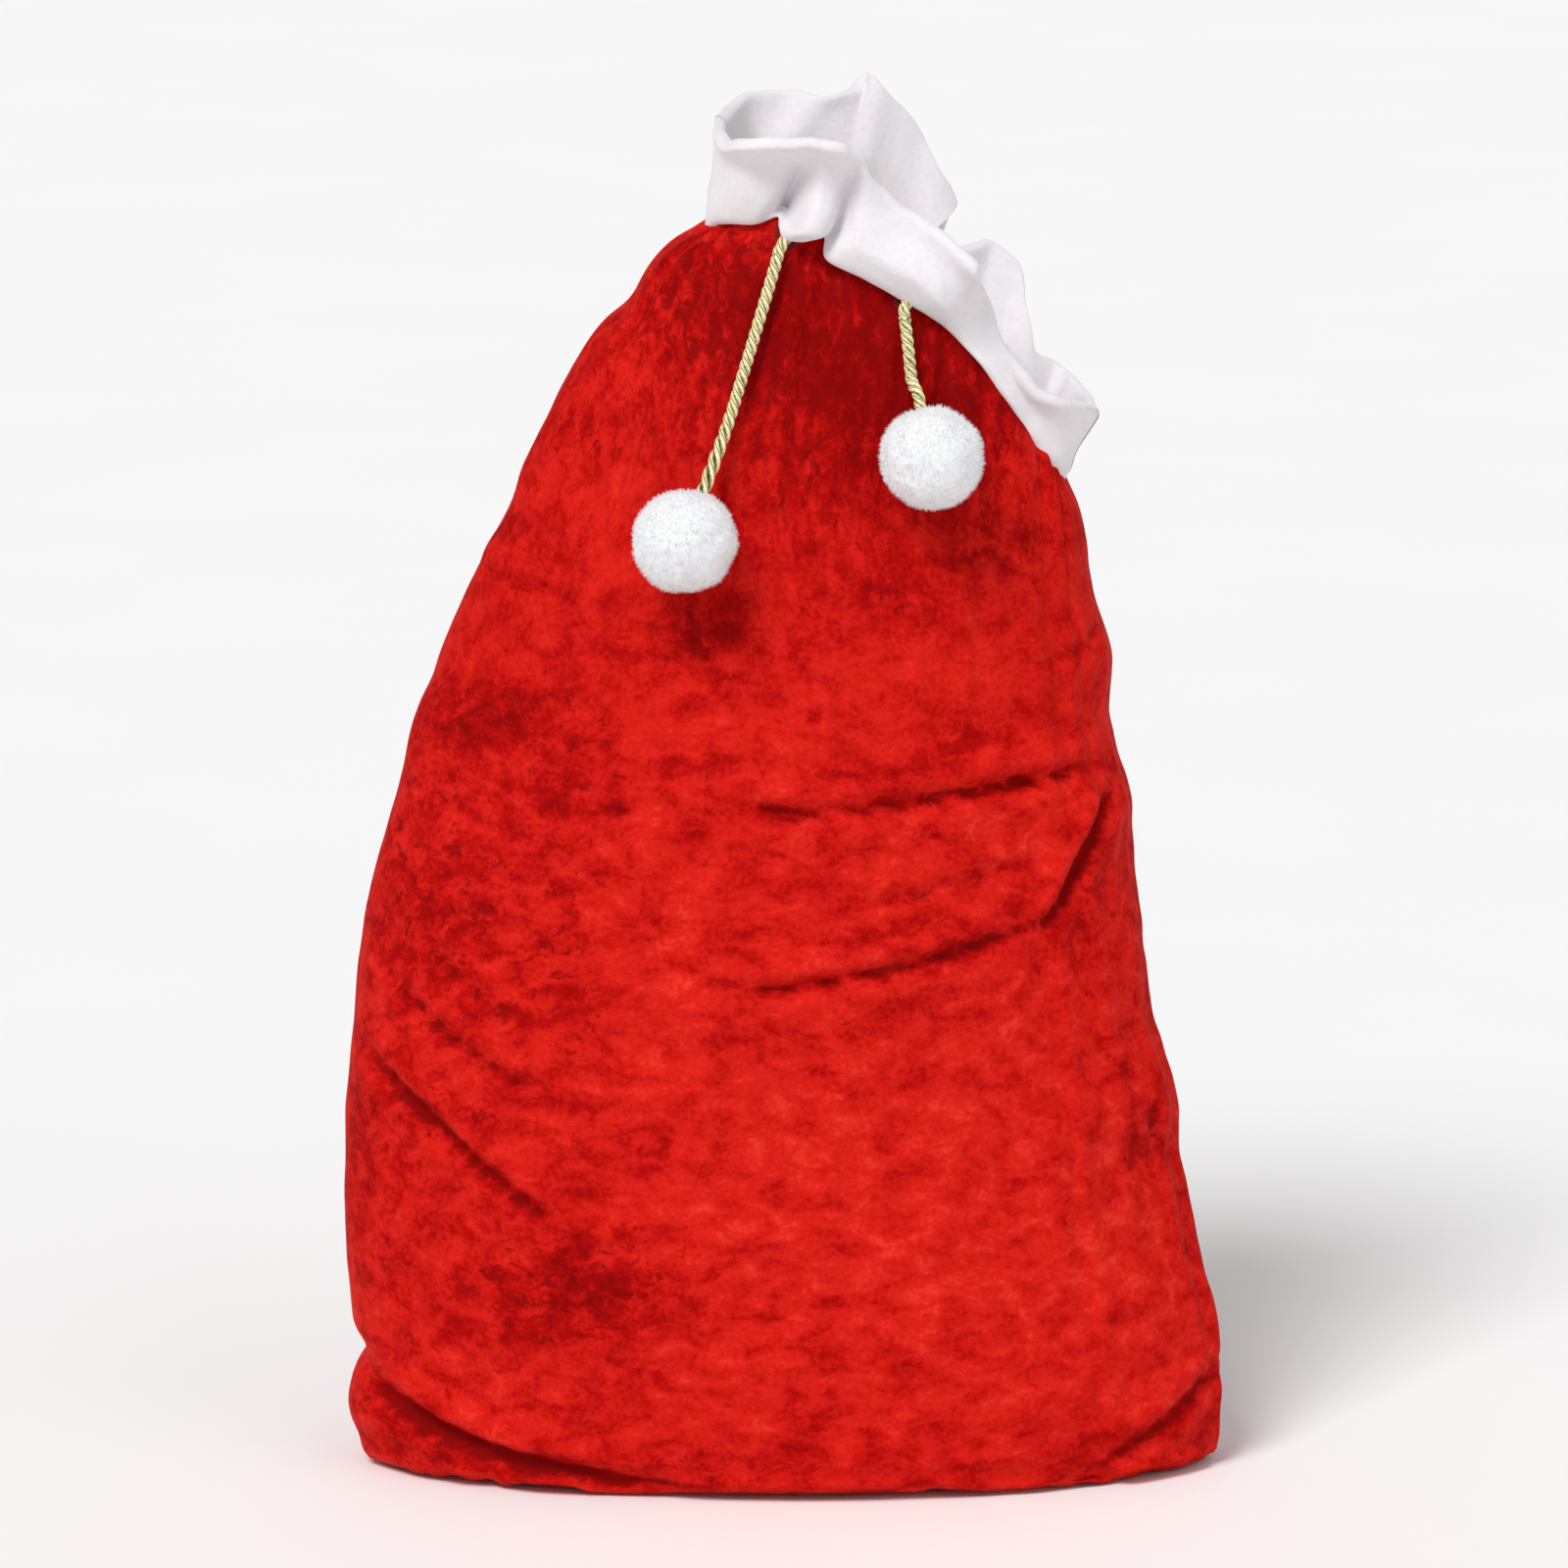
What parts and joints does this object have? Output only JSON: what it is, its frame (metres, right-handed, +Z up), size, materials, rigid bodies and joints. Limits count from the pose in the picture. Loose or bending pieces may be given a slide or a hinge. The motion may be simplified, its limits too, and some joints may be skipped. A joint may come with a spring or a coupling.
{
  "type": "drawstring gift sack",
  "caption": "Standing fabric gift sack with a plush cuff round a gathered mouth, closed by a cord in a channel whose tails end in pompoms.",
  "frame": {"origin": "on the floor under the middle of the velvet, on the bottom seam", "axes": "+Z up, -Y towards the front that the cord comes out of, +X to the right seen from the front"},
  "size_m": [0.5256, 0.2613, 0.8423],
  "materials": {
    "red_velvet": "crushed velvet pile",
    "red_tape": "woven tape",
    "white_plush": "short soft plush",
    "white_filling": "loose fibre filling",
    "gold_cord": "twisted shiny gold thread",
    "white_thread": "sewing thread",
    "red_thread": "sewing thread"
  },
  "bodies": {
    "sack": {"front_panel": "red_velvet", "back_panel": "red_velvet", "left_side_seam": "red_velvet", "right_side_seam": "red_velvet", "bottom_seam": "red_velvet"},
    "mouth_front": {"mouth_band_front": "red_velvet", "channel_tape_front": "red_tape", "cuff_front": "white_plush", "drawcord_front_left": "gold_cord", "drawcord_front_right": "gold_cord", "left_buttonhole": "red_thread", "left_cord_lead": "gold_cord", "right_buttonhole": "red_thread", "right_cord_lead": "gold_cord"},
    "mouth_back": {"mouth_band_back": "red_velvet", "channel_tape_back": "red_tape", "cuff_back": "white_plush", "drawcord_back": "gold_cord"},
    "left_bend": {"left_cord_bend": "gold_cord"},
    "left_tail": {"left_cord_tail": "gold_cord"},
    "left_pompom": {"left_pompom_cover": "white_plush", "left_pompom_filling": "white_filling", "left_cord_knot": "gold_cord", "left_pompom_tie": "white_thread"},
    "right_bend": {"right_cord_bend": "gold_cord"},
    "right_tail": {"right_cord_tail": "gold_cord"},
    "right_pompom": {"right_pompom_cover": "white_plush", "right_pompom_filling": "white_filling", "right_cord_knot": "gold_cord", "right_pompom_tie": "white_thread"}
  },
  "joints": [
    {"name": "mouth_front_close", "type": "hinge", "parent": "sack", "child": "mouth_front", "pos_m": [0.05851, 0, 0.68002], "axis": [-0.8138, 0, 0.5811], "range_deg": [0, 24]},
    {"name": "mouth_back_close", "type": "hinge", "parent": "sack", "child": "mouth_back", "pos_m": [0.05851, 0, 0.68002], "axis": [0.8138, 0, -0.5811], "range_deg": [0, 24]},
    {"name": "left_tail_lift", "type": "hinge", "parent": "mouth_front", "child": "left_bend", "pos_m": [-0.00395, -0.06445, 0.75074], "axis": [-0.9448, 0.2593, 0.2002], "range_deg": [0, 85]},
    {"name": "left_tail_pull", "type": "slide", "parent": "left_bend", "child": "left_tail", "axis": [-0.2871, -0.3609, -0.8873], "range_m": [0, 0.045]},
    {"name": "left_pompom_nod", "type": "hinge", "parent": "left_tail", "child": "left_pompom", "pos_m": [-0.04715, -0.10113, 0.61473], "axis": [-0.9285, 0, 0.3714], "range_deg": [0, 50]},
    {"name": "right_tail_lift", "type": "hinge", "parent": "mouth_front", "child": "right_bend", "pos_m": [0.06973, -0.07156, 0.71416], "axis": [-0.9699, -0.2283, -0.085], "range_deg": [0, 85]},
    {"name": "right_tail_pull", "type": "slide", "parent": "right_bend", "child": "right_tail", "axis": [0.145, -0.2611, -0.9543], "range_m": [0, 0.045]},
    {"name": "right_pompom_nod", "type": "hinge", "parent": "right_tail", "child": "right_pompom", "pos_m": [0.07802, -0.08897, 0.66324], "axis": [-0.9747, 0, -0.2234], "range_deg": [0, 50]}
  ],
  "couplings": [
    {"joint": "right_tail_pull", "follows": "left_tail_pull", "ratio": 1},
    {"joint": "mouth_front_close", "follows": "left_tail_pull", "rad_per_m": 9.308},
    {"joint": "mouth_back_close", "follows": "left_tail_pull", "rad_per_m": 9.308}
  ]
}
